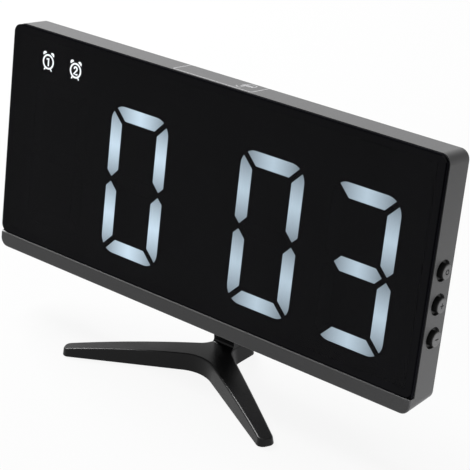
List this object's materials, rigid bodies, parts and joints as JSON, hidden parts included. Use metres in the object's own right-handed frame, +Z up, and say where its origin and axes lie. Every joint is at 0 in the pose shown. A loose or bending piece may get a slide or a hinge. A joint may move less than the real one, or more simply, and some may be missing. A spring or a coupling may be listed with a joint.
{
  "type": "digital desk clock",
  "caption": "Slim leaning digital desk clock with a dark lens, large lit digits, side keys and a low tripod stand.",
  "frame": {"origin": "centre of the overall footprint, on the desk", "axes": "+X to the viewer's right along the case's width, +Y to the back, +Z up"},
  "size_m": [0.2017, 0.05, 0.1157],
  "materials": {
    "black_case": "satin charcoal",
    "black_stand": "satin black",
    "smoked_lens": "polished dark acrylic",
    "black_mask": "matt black",
    "lit_bar": "milky, lit from behind",
    "dark_bar": "smoked filler",
    "white_plastic": "matt white",
    "green_board": "solder mask",
    "chip_black": "matt",
    "lamp": "phosphor",
    "black_plastic": "fine grain",
    "key_black": "satin charcoal",
    "steel": "zinc plated",
    "bright_steel": "nickel plated",
    "contact": "bare",
    "rubber": "matt"
  },
  "bodies": {
    "clock": {"front_case": "black_case", "front_lens": "smoked_lens", "display_mask": "black_mask", "lit_segments": "lit_bar", "dark_segments": "dark_bar", "colon_dots": "dark_bar", "alarm_windows": "lit_bar", "segment_reflector": "white_plastic", "display_board": "green_board", "display_leds": "lamp", "driver_chips": "chip_black", "board_screws": "steel", "touch_plate": "contact", "touch_spring": "contact", "key_board": "green_board", "key_switches": "chip_black", "rear_cover": "black_plastic", "cover_screws": "steel", "main_board": "green_board", "main_screws": "steel", "controller_chip": "chip_black", "clock_crystal": "bright_steel", "buzzer": "chip_black", "link_plug": "white_plastic", "link_socket": "white_plastic", "power_socket": "bright_steel", "socket_tongue": "chip_black", "backup_cell": "bright_steel", "cell_contacts": "contact", "lock_screw": "steel", "stand": "black_stand", "foot_pads": "rubber"},
    "set_button": {"set_key": "key_black", "set_plunger": "chip_black"},
    "up_button": {"up_key": "key_black", "up_plunger": "chip_black"},
    "down_button": {"down_key": "key_black", "down_plunger": "chip_black"},
    "twist_door": {"cell_door": "black_plastic"}
  },
  "joints": [
    {"name": "set_press", "type": "slide", "parent": "clock", "child": "set_button", "axis": [-1, 0, 0], "range_m": [0, 0.0006], "stiffness_N_per_m": 1200, "springref_m": -0.0003},
    {"name": "up_press", "type": "slide", "parent": "clock", "child": "up_button", "axis": [-1, 0, 0], "range_m": [0, 0.0006], "stiffness_N_per_m": 1200, "springref_m": -0.0003},
    {"name": "down_press", "type": "slide", "parent": "clock", "child": "down_button", "axis": [-1, 0, 0], "range_m": [0, 0.0006], "stiffness_N_per_m": 1200, "springref_m": -0.0003},
    {"name": "door_twist", "type": "hinge", "parent": "clock", "child": "twist_door", "pos_m": [-0.026, 0.02043, 0.04437], "axis": [0, 0.9866, -0.1633], "range_deg": [0, 60]}
  ]
}
